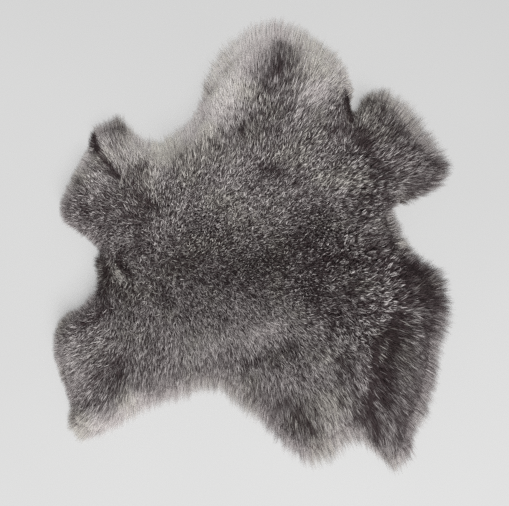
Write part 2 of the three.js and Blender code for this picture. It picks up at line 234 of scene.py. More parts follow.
PATCHES = tuple(Patch(*row) for row in (
    ("spine", ((-57, -18), (7, -21), (67, -13), (128, -13)), 20.6, -0.24),
    ("spine, darkest", ((16, -38), (42, -44)), 7.7, -0.04),
    ("rump", ((42, 17), (80, 13), (128, -7)), 20.6, -0.05),
    ("tail edge", ((143, -18), (159, -31), (164, -50)), 10.3, -0.55),
    ("belly a front, white", ((-31, 151), (-19, 139), (-32, 125)), 13.8, 0.9),
    ("belly a crown", ((-7, 171), (9, 184)), 11.2, 0.9),
    ("belly a edge shade", ((-45, 141), (-44, 127)), 4.3, -0.35),
    ("belly a wedge", ((19, 144), (25, 158)), 10.3, -0.22),
    ("belly a wedge, dark core", ((26, 151), (30, 159)), 5.2, -0.08),
    ("belly a back, white", ((55, 159), (66, 147), (57, 134)), 11.2, 0.5),
    ("belly a back, pale core", ((49, 139), (49, 123)), 6, 0.04),
    ("flank a edge", ((-44, 108), (-60, 99), (-79, 84), (-94, 87)), 11.6, 0.9),
    ("flank a, light", ((-31, 71), (-12, 56), (9, 44), (-31, 36)), 17.2, 0.04),
    ("flank a smudge", ((9, 69), (21, 64)), 5.2, -0.4),
    ("flank a spot", ((-10, 103), (-9, 98)), 3.4, -0.35),
    # Painted shade: the dark line where one lobe overlaps the next at the notch.
    ("notch line, painted shade", ((83, 137), (82, 127), (85, 110)), 2.6, -0.7),
    ("notch root", ((85, 106), (73, 95)), 7.7, 0.05),
    # Painted shade: the dark hollow that runs from the notch down into hind leg a.
    ("hind leg a hollow", ((90, 103), (102, 82), (110, 68), (116, 60)), 6, -0.3),
    ("hind leg a front", ((98, 127), (114, 123)), 6.9, -0.1, 0.8),
    ("hind leg a fringe", ((131, 116), (145, 103)), 5.2, 0.04, 0.3),
    ("loin a", ((81, 84), (76, 49)), 11.2, -0.04),
    ("hip a", ((86, 34), (104, 48), (117, 39)), 7.7, -0.22),
    # Painted shade: the crease of the fold on foreleg a, and its dark mouth under the curled
    # edge.
    ("foreleg a fold line, painted shade", ((-137, 98), (-133, 84), (-123, 72), (-115, 61)), 2.6, -0.5),
    ("foreleg a fold mouth", ((-138, 96), (-137, 86)), 3.9, -0.9),
    ("foreleg a tip, dark", ((-118, 106), (-111, 104)), 6, -0.14),
    ("foreleg a shin", ((-129, 94), (-120, 81), (-110, 72)), 6.9, 0.18),
    ("foreleg a inner", ((-106, 92), (-94, 85)), 7.7, 0.02),
    ("armpit a", ((-90, 79), (-97, 61)), 6, -0.24),
    ("shoulder a", ((-89, 58), (-72, 70)), 12, 0.12),
    ("shoulder a, dark", ((-96, 45), (-86, 36), (-99, 26)), 8.6, -0.28),
    ("cheek a shade", ((-130, 29), (-125, 49)), 6, -0.12),
    ("cheek a edge", ((-160, 53), (-156, 41)), 4.3, 0.25),
    ("flank b, light", ((-53, -85), (-19, -81), (9, -73), (21, -68)), 9.5, 0.17),
    ("flank b, lightest", ((6, -73), (21, -68)), 6, 0.2),
    ("flank b line", ((-6, -102), (18, -94), (38, -87)), 4.3, -0.18),
    ("waist b", ((-62, -105), (-25, -111)), 10.3, -0.02),
    ("flank b edge", ((-91, -134), (-60, -126), (-30, -118), (-8, -128)), 7.7, 0.05),
    ("neck b", ((-130, -35), (-125, -50), (-144, -64)), 6.9, -0.28),
    ("cheek b", ((-156, -90), (-154, -114)), 8.6, 0.14),
    # Painted shade: the soft valley on foreleg b, and the thin crease at its paw.
    ("foreleg b valley", ((-113, -99), (-114, -112), (-117, -123)), 7.7, -0.24),
    ("foreleg b crease", ((-156, -147), (-148, -141), (-137, -134)), 2.6, -0.15),
    ("paw b, white", ((-144, -155), (-132, -148)), 6.9, 0.3),
    ("paw b fringe", ((-101, -133), (-120, -155), (-146, -160)), 6.9, 0.52),
    # Painted shade: the fold on hind leg b, a thin dark line with a broader shaded band on its
    # far side, and the darker run below it.
    ("hind leg b fold line, painted shade", ((129, -55), (110, -82), (105, -108), (105, -130)), 3.4, -0.45),
    ("hind leg b valley", ((131, -64), (122, -85), (117, -111), (116, -133)), 9.5, -0.38),
    ("hind leg b lower valley, painted shade", ((98, -133), (107, -152), (110, -166)), 6, -0.4),
    ("hind leg b outer", ((152, -71), (148, -124), (131, -157)), 12, -0.17),
    ("belly b front", ((0, -128), (21, -157)), 8.6, -0.12),
    ("belly b, dark", ((31, -135), (47, -152), (52, -160)), 6.9, -0.24),
    ("belly b streak", ((64, -133), (74, -152), (81, -166)), 6.9, 0.18, 0.3),
    ("neck tuft, dark", ((-133, -9), (-127, -22)), 5.2, -0.6, 1),
    ("neck shade", ((-113, -13), (-106, -22)), 3.4, -0.45),
    ("neck tuft, white", ((-115, -21), (-111, -28)), 3, 0.75),
    ("neck edge", ((-125, -28), (-125, -38)), 6, -0.1, 0.9),
    ("belly b edge", ((-3, -131), (18, -154), (37, -173), (52, -179)), 7.7, 0.08),
    ("belly b back edge", ((95, -150), (100, -160)), 6.9, -0.2),
    ("belly a back, grey", ((73, 127), (75, 120)), 6.9, -0.12),
    ("hind leg a brow", ((114, 128), (129, 122)), 6.9, 0.22),
    ("tail inner", ((126, -42), (148, -45)), 9.5, -0.2),
    ("thigh b edge", ((152, -68), (164, -74)), 8.6, -0.32),
    ("lower back", ((52, -40), (67, -52), (72, -68)), 9.5, -0.26),
    ("belly a back crown", ((49, 177), (57, 168)), 7.7, 0.35),
    ("loin", ((38, 60), (45, 48)), 8.6, -0.12),
    ("back", ((-62, 5), (42, 10)), 17.2, -0.1),
    ("thigh b low", ((76, -95), (81, -107)), 7.7, -0.25),
    ("belly b back", ((71, -147), (78, -150)), 7.7, -0.05),
    ("ribs b", ((-77, -41), (-72, -50)), 6.9, -0.18),
    ("foreleg b shade", ((-139, -85), (-134, -97), (-132, -114)), 7.7, -0.18),
    # Painted shade: the dark patch at the notch's root, under the overlapping lobe.
    ("notch front, painted shade", ((70, 99), (78, 104)), 6, -0.34),
    ("belly b front, grey", ((30, -157), (42, -173)), 6.9, -0.24),
    ("stifle b", ((86, -128), (88, -135)), 6, -0.12),
    ("cheek a, dark", ((-148, 39), (-142, 30)), 6.9, -0.18),
    ("flank a notch", ((116, 27), (124, 3)), 6, -0.25),
    ("belly a wedge, top", ((19, 178), (35, 177)), 6.9, -0.22),
    ("neck a", ((-97, 10), (-93, 1)), 6.9, -0.18),
    ("belly a middle", ((18, 116), (24, 92)), 10.3, -0.14),
    ("spine, rump", ((66, -13), (80, -21)), 10.3, -0.14),
    ("rump b", ((85, -37), (93, -50)), 7.7, -0.2),
    ("hind leg b tip", ((117, -178), (129, -178), (135, -171)), 6.9, -0.1),
    ("hind leg a", ((112, 95), (140, 75)), 20.6, -0.18),
    ("hind leg a sole", ((137, 46), (158, 57), (165, 68)), 8.6, -0.35),
    ("belly a back edge", ((84, 140), (73, 160), (43, 180)), 8.6, 0.5),
    ("belly a tip", ((33, 189), (5, 189), (-19, 177)), 10.3, 0.62),
    ("belly a front edge", ((-13, 170), (-25, 153)), 11.2, 0.6),
    ("foreleg a edge", ((-136, 98), (-148, 66)), 5.2, 0.35),
    ("shoulders", ((-113, 41), (-122, 6), (-109, -37)), 22.4, -0.12),
    ("thigh b, inner", ((55, -57), (40, -81)), 8.6, -0.06),
    ("thigh b, dark", ((109, -56), (126, -88)), 7.7, -0.12),
    ("crease b, lip", ((95, -87), (95, -107)), 6, -0.06),
    ("hind leg a, rim", ((147, 116), (150, 106)), 5.2, -0.06),
    ("loin, dark", ((40, 6), (55, -1), (57, 29)), 9.5, -0.14),
    ("back, dark", ((-27, 10), (-22, 5)), 7.7, -0.1),
    ("rump a, pale", ((61, 58), (85, 57)), 6, 0.12),
    ("hind leg b, sheen", ((148, -59), (148, -74)), 5.2, 0.14),
    ("hind leg a, sole", ((131, 49), (145, 53), (159, 61)), 6.9, 0.16),
    ("foreleg b crease, lip", ((-151, -147), (-142, -142)), 4.3, 0.16),
    ("foreleg b, pale", ((-139, -83), (-137, -100)), 7.7, 0.14),
    ("flank b, pale", ((-63, -92), (-31, -102)), 7.7, 0.08),
    ("foreleg a, pale", ((-142, 80), (-141, 72)), 5.2, 0.12),
    ("loin b, pale", ((64, -109), (78, -71)), 6.9, 0.14),
    ("thigh b", ((86, -45), (95, -84)), 22.4, -0.08),
    ("flank a, warmer", ((-62, 67), (16, 101), (67, 84)), 51.6, 0, 0.25),
    ("flank b, cooler", ((-79, -80), (24, -97), (128, -71)), 51.6, 0, -0.3),
    ("hind leg a, cooler", ((128, 92), (145, 67)), 25.8, 0, -0.25),
))

# Where the coat breaks up into tufts, and how much.
TUFTED = tuple(Patch(*row) for row in (
    ("rump", ((66, -8), (110, -12), (120, -45), (84, -66)), 26, 1.0),
    ("hip a", ((84, 66), (96, 40)), 20, 0.8),
    ("thigh b", ((96, -70), (98, -110)), 16, 0.8),
    ("hind leg a", ((112, 70), (128, 92)), 20, 0.25),
    ("belly a", ((-20, 130), (50, 140)), 20, 0.2),
    ("belly b", ((30, -150), (74, -140)), 20, 0.3),
    ("neck", ((-116, -20), (-104, -34)), 12, 0.5),
))


class Seed(IntEnum):
    """The seeds of the random numbers that the pelt's pieces share."""

    CLUMPS = 5
    TUFTS = 6
    SWIRL = 31
    SHADES = 41
    CASTS = 51
    WOOL = 71
    COURSES = 100


def to_frame(table: Array) -> Array:
    """Places of the tables, as rows in millimetres, as rows in the part's own frame."""
    return (np.asarray(table, float) - np.array(TABLE_CENTRE)) * MM


def heading(degrees: Array) -> Array:
    """Unit vectors, as rows, at angles in degrees counterclockwise from +X."""
    angle = np.radians(np.asarray(degrees, float))
    return np.stack([np.cos(angle), np.sin(angle)], -1)


def turned(way: Array, degrees: Array | float) -> Array:
    """Unit vectors turned by angles.

    Args:
        way: Rows of x and y.
        degrees: One angle for each row, or one for all.

    Returns:
        The turned rows.
    """
    c, s = np.cos(np.radians(degrees)), np.sin(np.radians(degrees))
    x, y = way.T
    return np.stack([x * c - y * s, x * s + y * c], -1)


def unit(rows: Array) -> Array:
    """Vectors, along the last axis, drawn out or in to a length of one."""
    return rows / np.maximum(np.linalg.norm(rows, axis=-1, keepdims=True), TINY)


def swing(chance: Array) -> Array:
    """Random numbers from 0 to 1 spread out to -1 to 1."""
    return (chance - 0.5) * 2


def closed_curve(points: Array, per_row: int) -> Array:
    """A smooth closed centripetal curve through points.

    Args:
        points: The points that it passes, in order.
        per_row: How many points it is cut to between two of them.

    Returns:
        The points along the curve.
    """
    before, start = np.roll(points, 1, 0), points
    end, after = np.roll(points, -1, 0), np.roll(points, -2, 0)

    def knot(a: Array, b: Array) -> Array:
        """Centripetal spacing between two runs of points."""
        return np.sqrt(np.linalg.norm(b - a, axis=1, keepdims=True))

    lead, span, tail = knot(before, start), knot(start, end), knot(end, after)
    leave = (start - before) / lead - (end - before) / (lead + span) + (end - start) / span
    arrive = (end - start) / span - (after - start) / (span + tail) + (after - end) / tail
    leave, arrive = leave * span, arrive * span
    out = []
    for t in np.linspace(0, 1, per_row, endpoint=False):
        square, cube = t * t, t * t * t
        out.append(
            (2 * cube - 3 * square + 1) * start
            + (cube - 2 * square + t) * leave
            + (3 * square - 2 * cube) * end
            + (cube - square) * arrive
        )
    return np.stack(out, 1).reshape(-1, 2)


def off_path(places: Array, path: Array, closed: bool = False) -> Array:
    """Shortest distance from each place to a run of points.

    Args:
        places: Rows of x and y.
        path: The run's points.
        closed: Whether the last point joins the first.

    Returns:
        One distance for each place.
    """
    ends = np.roll(path, -1, 0) if closed else path[1:]
    starts = path if closed else path[:-1]
    best = np.full(len(places), np.inf)
    for start, end in zip(starts, ends):
        way = end - start
        along = np.clip((places - start) @ way / max(way @ way, TINY), 0, 1)
        best = np.minimum(best, np.linalg.norm(places - start - along[:, None] * way, axis=1))
    return best


def inside(places: Array, outline: Array) -> Array:
    """Whether each place lies inside a closed outline.

    Args:
        places: Rows of x and y.
        outline: The outline's points.

    Returns:
        One truth value for each place.
    """
    x, y = places.T
    found = np.zeros(len(places), bool)
    for (ax, ay), (bx, by) in zip(outline, np.roll(outline, -1, 0)):
        if ay != by:
            crosses = (ay > y) != (by > y)
            found ^= crosses & (x < (bx - ax) * (y - ay) / (by - ay) + ax)
    return found


def between(grid: Array, at: Array, onward: Array, share: Array) -> Array:
    """Values of a grid between its points.

    Args:
        grid: The values.
        at: The cell of each place, as rows of two whole numbers.
        onward: The next cell along and across, in the same way.
        share: How far through its cell each place lies, as rows of two.

    Returns:
        One value for each place.
    """
    (i, j), (k, m), (s, t) = at.T, onward.T, share.T
    near = grid[i, j] * (1 - s) + grid[k, j] * s
    far = grid[i, m] * (1 - s) + grid[k, m] * s
    return near * (1 - t) + far * t


def smooth_noise(places: Array, cell: float, seed: int) -> Array:
    """Smooth random values from 0 to 1 that change over a set distance.

    Args:
        places: Rows of x and y in metres.
        cell: The distance, in metres.
        seed: Which field it is.

    Returns:
        One value for each place.
    """
    size = 128  # cells after which the field repeats
    table = np.random.default_rng(seed).random((size, size))
    at = places / cell + size / 2
    low = np.floor(at).astype(int)
    share = at - low
    return between(table, low % size, (low + 1) % size, share * share * (3 - 2 * share))


def clumps(spots: Array, apart: float, seed: int) -> tuple[Array, Array]:
    """The clump that each hair belongs to.

    Args:
        spots: The hairs' roots.
        apart: How far apart the clumps are, in metres.
        seed: Which scatter of clumps it is.

    Returns:
        The clump's centre for each hair, and four random numbers that the clump shares.
    """
    size = 512  # cells after which the scatter repeats
    draw = np.random.default_rng(seed)
    jitter = draw.random((size, size, 2))
    traits = draw.random((size, size, 4))
    cell = np.floor(spots / apart).astype(int)
    best = np.full(len(spots), np.inf)
    centre = np.zeros_like(spots)
    shared = np.zeros((len(spots), 4))
    for step in itertools.product((-1, 0, 1), repeat=2):
        i, j = (cell + step).T
        spot = (np.stack([i, j], -1) + jitter[i % size, j % size]) * apart
        gap = np.linalg.norm(spots - spot, axis=1)
        near = gap < best
        best[near] = gap[near]
        centre[near] = spot[near]
        shared[near] = traits[i % size, j % size][near]
    return centre, shared


@dataclass
class Form:
    """The pelt's form, read from its CAD node onto a fine grid of places.

    The grid holds the fur's height, how far a place lies inside the hide's edge, the way the
    hair leans there and how orderly, how far each hair reaches, how pale, brown and tufted the
    coat is, and how far the hair passes the hide at the nearest rim. Its paleness also carries
    the painted shade of folds, creases and the notch, and a painted highlight on one ridge.
    """

    step: float = 2 * MM
    margin: float = 12 * MM
    drop_from: float = 0.1
    smoothing: int = 2
    per_row: int = 6
    blend: float = 3.0
    core: float = 4 * MM
    full_pile: float = 18 * MM
    upright_reach: float = 3.6 * MM
    lying_share: float = 1.2
    rim_extra: float = 4.5 * MM
    last_cell: float = 1.001
    low: Array = field(init=False)
    shape: Array = field(init=False)
    places: Array = field(init=False)
    edge: Array = field(init=False)
    fields: dict[str, Array] = field(default_factory=dict)

    def __post_init__(self) -> None:
        """Lays out the rim and the grid, and fills the fields."""
        low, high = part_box(NODE)
        self.low = np.array(low[:2]) - self.margin
        self.shape = np.ceil((np.array(high[:2]) + self.margin - self.low) / self.step)
        self.shape = self.shape.astype(int) + 1
        rows = [np.arange(n) * self.step for n in self.shape]
        self.places = np.stack(np.meshgrid(*rows, indexing="ij"), -1).reshape(-1, 2) + self.low
        ways = heading([row.lean for row in RIM])
        reach = np.array([row.reach for row in RIM]) * MM
        rim = to_frame([(row.x, row.y) for row in RIM]) - ways * reach[:, None]
        self.edge = closed_curve(rim, self.per_row)
        self.fields["top"] = self.measure_top()
        off = off_path(self.places, self.edge, closed=True)
        self.fields["inward"] = np.where(inside(self.places, self.edge), off, -off)
        self.fields["passing"] = self.rim_values(reach)
        self.lay_hair(rim, ways, reach)
        self.colour_coat()

    def measure_top(self) -> Array:
        """Heights of the CAD node, with its facets eased.

        Returns:
            One height for each place of the grid.
        """
        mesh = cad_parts[NODE].data
        points = [vertex.co.copy() for vertex in mesh.vertices]
        tree = BVHTree.FromPolygons(points, [tuple(face.vertices) for face in mesh.polygons])
        down = Vector((0, 0, -1))
        heights = np.zeros(len(self.places))
        for k, (x, y) in enumerate(self.places):
            hit = tree.ray_cast(Vector((x, y, self.drop_from)), down)[0]
            if hit is not None:
                heights[k] = hit.z
        grid = heights.reshape(self.shape)
        for axis in (0, 1) * self.smoothing:
            grid = (np.roll(grid, 1, axis) + 2 * grid + np.roll(grid, -1, axis)) / 4
        return grid.ravel()

    def rim_values(self, values: Array) -> Array:
        """Values of the rim's rows, carried in from the nearest place on the hide's edge.

        Args:
            values: One value for each rim row.

        Returns:
            One value for each place of the grid.
        """
        rows = np.arange(len(self.edge)) / self.per_row
        around = np.interp(rows, np.arange(len(values) + 1), np.append(values, values[0]))
        best = np.full(len(self.places), np.inf)
        found = np.zeros(len(self.places))
        for point, value in zip(self.edge, around):
            gap = np.linalg.norm(self.places - point, axis=1)
            near = gap < best
            best[near] = gap[near]
            found[near] = value
        return found

    def lay_hair(self, rim: Array, ways: Array, reach: Array) -> None:
        """Fills the fields of lean, order and reach from the stations and the rim.

        Args:
            rim: The hide's edge at each rim row.
            ways: Unit vectors of the hair's way at each rim row.
            reach: How far the hair passes the hide's edge at each rim row, in metres.
        """
        spots = np.vstack([to_frame([(row.x, row.y) for row in STATIONS]), rim])
        leans = np.vstack([heading([row.lean for row in STATIONS]), ways])
        lying = self.full_pile - np.array([row.pile for row in STATIONS]) * MM
        shows = self.upright_reach + self.lying_share * lying
        shows = np.concatenate([shows, reach + self.rim_extra])
        gap = np.linalg.norm(self.places[:, None] - spots[None], axis=2) + self.core
        weight = gap ** -self.blend
        weight /= weight.sum(1, keepdims=True)
        lean = weight @ leans
        self.fields["order"] = np.linalg.norm(lean, axis=1)
        self.fields["lean_x"], self.fields["lean_y"] = unit(lean).T
        self.fields["reach"] = weight @ shows

    def share(self, patch: Patch) -> Array:
        """How much each place is a patch's: 1 at its heart, and hardly any well off it."""
        off = off_path(self.places, to_frame(patch.path)) / (patch.radius * MM)
        return np.exp(-off * off)

    def colour_coat(self) -> None:
        """Fills the fields of paleness, brownness and tufts from the patches."""
        # Paleness sums the coat's own patches with painted shade along folds, creases and the
        # notch and a painted highlight on one ridge.
        pale, warm, tufted = np.zeros((3, len(self.places)))
        for patch in PATCHES:
            share = self.share(patch)
            pale += patch.strength * share
            warm += patch.warmth * share
        for patch in TUFTED:
            tufted = np.maximum(tufted, patch.strength * self.share(patch))
        self.fields.update(pale=pale, warm=warm, tufted=tufted)

    def read(self, name: str, places: Array) -> Array:
        """A field's values between the grid's places.

        Args:
            name: The field.
            places: Rows of x and y in metres.

        Returns:
            One value for each place.
        """
        at = (places - self.low) / self.step
        at = np.clip(at, 0, self.shape - self.last_cell)
        low = at.astype(int)
        return between(self.fields[name].reshape(self.shape), low, low + 1, at - low)

    def lean(self, places: Array) -> Array:
        """Unit vectors of the way the hair lies at each place."""
        return unit(np.stack([self.read("lean_x", places), self.read("lean_y", places)], -1))


def feed(node: bpy.types.Node, sources: dict[str | int, Socket | float]) -> bpy.types.Node:
    """Feeds a node's sockets, each with a plain value or with what comes out of another node.

    Args:
        node: The node.
        sources: The values and outputs, by the names or numbers of the sockets.

    Returns:
        The node.
    """
    for socket, source in sources.items():
        if isinstance(source, Socket):
            node.id_data.links.new(source, node.inputs[socket])
        else:
            node.inputs[socket].default_value = source
    return node


def colour_ramp(place: Socket, stops: list[tuple[float, Triple]]) -> bpy.types.Node:
    """A node that turns a place into a colour.

    Args:
        place: The place.
        stops: Places and their colours.

    Returns:
        The node.
    """
    node = feed(place.id_data.nodes.new("ShaderNodeValToRGB"), {"Fac": place})
    bar = node.color_ramp.elements
    while len(bar) < len(stops):
        bar.new(0.5)
    for element, (position, colour) in zip(bar, stops):
        element.position = position
        element.color = (*colour, 1)
    return node


def new_material(
    name: str, values: dict[str | int, float],
) -> tuple[bpy.types.Material, bpy.types.Node]:
    """A new material.

    Args:
        name: Its name.
        values: Its shader's plain values, by the names of the sockets.

    Returns:
        The material and its shader.
    """
    material = bpy.data.materials.new(name)
    material.use_nodes = True
    return material, feed(material.node_tree.nodes["Principled BSDF"], values)


class Hue(Enum):
    """The three casts of grey that hairs of an agouti coat have."""

    NEUTRAL = 0
    OLIVE = 1
    SLATE = 2


@dataclass(frozen=True)
class HairFinish:
    """Banded agouti hair: slate at the root, a pale band, and a dark or a white tip.

    The hair's own map holds where it stands along a hair, from left to right, and how pale
    the hair is, from bottom to top, in one strip for each hue.
    """

    dark_bands: Pairs = (
        (0.0, 0.006), (0.35, 0.012), (0.52, 0.05), (0.76, 0.05), (0.86, 0.012), (1.0, 0.008),
    )
    pale_bands: Pairs = (
        (0.0, 0.03), (0.32, 0.12), (0.48, 0.66), (0.60, 0.76), (0.78, 0.76), (0.88, 0.16),
        (1.0, 0.04),
    )
    white_bands: Pairs = (
        (0.0, 0.25), (0.3, 0.60), (0.5, 0.88), (0.78, 0.94), (0.9, 0.90), (1.0, 0.78),
    )
    casts: tuple[tuple[float, Triple], ...] = (
        (0.0, (1.0, 0.44, 0.52)),
        (0.05, (1.0, 0.60, 0.66)),
        (0.15, (1.0, 0.76, 0.78)),
        (0.4, (1.0, 0.90, 0.89)),
        (0.9, (1.0, 0.985, 0.95)),
    )
    white_from: float = 0.75
    tints: tuple[tuple[Hue, Triple], ...] = (
        (Hue.NEUTRAL, (1.0, 0.98, 0.985)),
        (Hue.OLIVE, (0.99, 0.98, 0.94)),
        (Hue.SLATE, (1.0, 0.968, 0.985)),
    )
    roughness: float = 0.62
    sheen: float = 0.04
    sheen_roughness: float = 0.45
    specular: float = 0.2

    def shade(self, brightness: float) -> Triple:
        """The colour of hair of a brightness: the darker it is, the more purple its cast.

        Args:
            brightness: The brightness, from 0 to 1.

        Returns:
            The colour.
        """
        places, casts = zip(*self.casts)
        cast = (np.interp(brightness, places, channel) for channel in zip(*casts))
        return tuple(brightness * float(part) for part in cast)

    def blend(
        self, tone: Socket, span: tuple[float, float], colours: tuple[Socket, Socket],
    ) -> Socket:
        """Two colours blended by a tone.

        Args:
            tone: The tone.
            span: The tones at which the first and the second colour stand alone.
            colours: The two colours.

        Returns:
            The blended colour.
        """
        nodes = tone.id_data.nodes
        share = feed(
            nodes.new("ShaderNodeMapRange"),
            {"Value": tone, "From Min": span[0], "From Max": span[1]},
        )
        mix = nodes.new("ShaderNodeMix")
        mix.data_type = "RGBA"
        feed(mix, {"Factor": share.outputs["Result"], "A": colours[0], "B": colours[1]})
        return mix.outputs["Result"]

    def make(self) -> bpy.types.Material:
        """The finish of every hair piece.

        Returns:
            The material.
        """
        material, shader = new_material("agouti_hair", {
            "Roughness": self.roughness,
            "Sheen Weight": self.sheen,
            "Sheen Roughness": self.sheen_roughness,
            "Specular IOR Level": self.specular,
        })
        nodes = material.node_tree.nodes
        where = nodes.new("ShaderNodeUVMap")
        where.uv_map = HAIR_MAP
        split = feed(nodes.new("ShaderNodeSeparateXYZ"), {"Vector": where.outputs["UV"]})
        along, up = split.outputs["X"], split.outputs["Y"]
        strips = nodes.new("ShaderNodeMath")
        strips.operation = "MULTIPLY"
        feed(strips, {0: up, 1: len(Hue)})
        fraction = nodes.new("ShaderNodeMath")
        fraction.operation = "FRACT"
        feed(fraction, {0: strips.outputs["Value"]})
        tone = fraction.outputs["Value"]

        dark, pale, white = (
            colour_ramp(along, [(at, self.shade(light)) for at, light in bands]).outputs["Color"]
            for bands in (self.dark_bands, self.pale_bands, self.white_bands)
        )
        grey = self.blend(tone, (0.0, self.white_from), (dark, pale))
        coat = self.blend(tone, (self.white_from, 1.0), (grey, white))
        cast = colour_ramp(up, [(hue.value / len(Hue), tint) for hue, tint in self.tints])
        cast.color_ramp.interpolation = "CONSTANT"
        dye = nodes.new("ShaderNodeMix")
        dye.data_type = "RGBA"
        dye.blend_type = "MULTIPLY"
        feed(dye, {"Factor": 1, "A": coat, "B": cast.outputs["Color"]})
        feed(shader, {"Base Color": dye.outputs["Result"]})
        return material


@dataclass(frozen=True)
class MottledFinish:
    """A matt finish whose colour drifts between two shades, with a fine grain."""

    name: str
    dark: Triple
    pale: Triple
    drift_scale: float
    grain_scale: float
    grain_height: float
    roughness: float
    sheen: float = 0.0
    span: tuple[float, float] = (0.32, 0.68)
    drift_detail: float = 4
    grain_detail: float = 5

    def noise(self, place: Socket, scale: float, detail: float) -> Socket:
        """Random values over the piece.

        Args:
            place: Where on the piece it is.
            scale: How quickly they change.
            detail: How much finer they go.

        Returns:
            The values.
        """
        noise = place.id_data.nodes.new("ShaderNodeTexNoise")
        feed(noise, {"Vector": place, "Scale": scale, "Detail": detail})
        return noise.outputs["Fac"]

    def make(self) -> bpy.types.Material:
        """The finish, laid over a piece without a map.

        Returns:
            The material.
        """
        material, shader = new_material(
            self.name, {"Roughness": self.roughness, "Sheen Weight": self.sheen},
        )
        nodes = material.node_tree.nodes
        place = nodes.new("ShaderNodeTexCoord").outputs["Object"]
        drift = self.noise(place, self.drift_scale, self.drift_detail)
        grain = self.noise(place, self.grain_scale, self.grain_detail)
        stops = list(zip(self.span, (self.dark, self.pale)))
        shades = colour_ramp(drift, stops)
        bump = feed(nodes.new("ShaderNodeBump"), {"Distance": self.grain_height, "Height": grain})
        feed(shader, {"Base Color": shades.outputs["Color"], "Normal": bump.outputs["Normal"]})
        return material


def finish_mesh(
    name: str, mesh: bpy.types.Mesh, material: bpy.types.Material,
) -> bpy.types.Object:
    """Puts a mesh into the scene as a piece with its finish.

    Args:
        name: The piece's name.
        mesh: Its mesh, with its place in it.
        material: Its finish.

    Returns:
        The piece.
    """
    mesh.materials.append(material)
    piece = bpy.data.objects.new(name, mesh)
    bpy.context.scene.collection.objects.link(piece)
    return piece


def finish_shell(name: str, shell: bmesh.types.BMesh, finish: MottledFinish) -> bpy.types.Object:
    """Puts a shell into the scene as a piece with its finish, and frees the shell.

    Args:
        name: The piece's name.
        shell: Its shell, with its place in it.
        finish: Its finish.

    Returns:
        The piece.
    """
    mesh = bpy.data.meshes.new(name)
    shell.to_mesh(mesh)
    shell.free()
    return finish_mesh(name, mesh, finish.make())


@dataclass
class Slab:
    """A closed slab over the hide's outline, from one height up to another.

    It is set in from the outline by `inset`, and by `passing_inset` of what the hair passes it.
    """

    form: Form
    name: str
    inset: float
    passing_inset: float
    cell: float
    floor: float

    def sheet(self) -> bmesh.types.BMesh:
        """The outline as a flat sheet of small cells.

        Returns:
            The sheet.
        """
        shell = bmesh.new()
        edge = self.form.edge
        way = unit(np.roll(edge, -1, 0) - np.roll(edge, 1, 0))
        inset = self.inset + self.passing_inset * self.form.read("passing", edge)
        ring = edge + np.stack([-way[:, 1], way[:, 0]], -1) * inset[:, None]
        shell.faces.new([shell.verts.new((x, y, self.floor)) for x, y in ring])
        low, high = ring.min(0), ring.max(0)
        for axis, normal in enumerate(((1, 0, 0), (0, 1, 0))):
            for k in range(1, math.ceil((high[axis] - low[axis]) / self.cell)):
                at = Vector((0, 0, 0))
                at[axis] = low[axis] + k * self.cell
                parts = shell.verts[:] + shell.edges[:] + shell.faces[:]
                bmesh.ops.bisect_plane(shell, geom=parts, plane_co=at, plane_no=normal, dist=SNAP)
        return shell


@dataclass
class Hide(Slab):
    """The tanned skin that the hair grows from. Building it measures its area."""

    name: str = "hide"
    inset: float = 0.0
    passing_inset: float = 0.0
    cell: float = 9 * MM
    floor: float = 0.0
    thickness: float = 1.2 * MM
    flat: tuple[float, float] = (0.326, 0.360)
    area: float = field(default=0.0, init=False)
    finish: MottledFinish = MottledFinish(
        "tanned_hide", (0.60, 0.50, 0.38), (0.80, 0.73, 0.62), 38, 900, 0.0002, 0.82, 0.1,
    )

    def build(self) -> bpy.types.Object:
        """The hide as one thin closed sheet.

        Returns:
            The piece.
        """
        shell = self.sheet()
        self.area = sum(face.calc_area() for face in shell.faces)
        bmesh.ops.solidify(shell, geom=shell.faces[:], thickness=self.thickness)
        lowest = min(vertex.co.z for vertex in shell.verts)
        bmesh.ops.translate(shell, verts=shell.verts[:], vec=(0, 0, -lowest))
        bmesh.ops.recalc_face_normals(shell, faces=shell.faces[:])
        piece = finish_shell(self.name, shell, self.finish)
        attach(piece, BODY)
        return piece


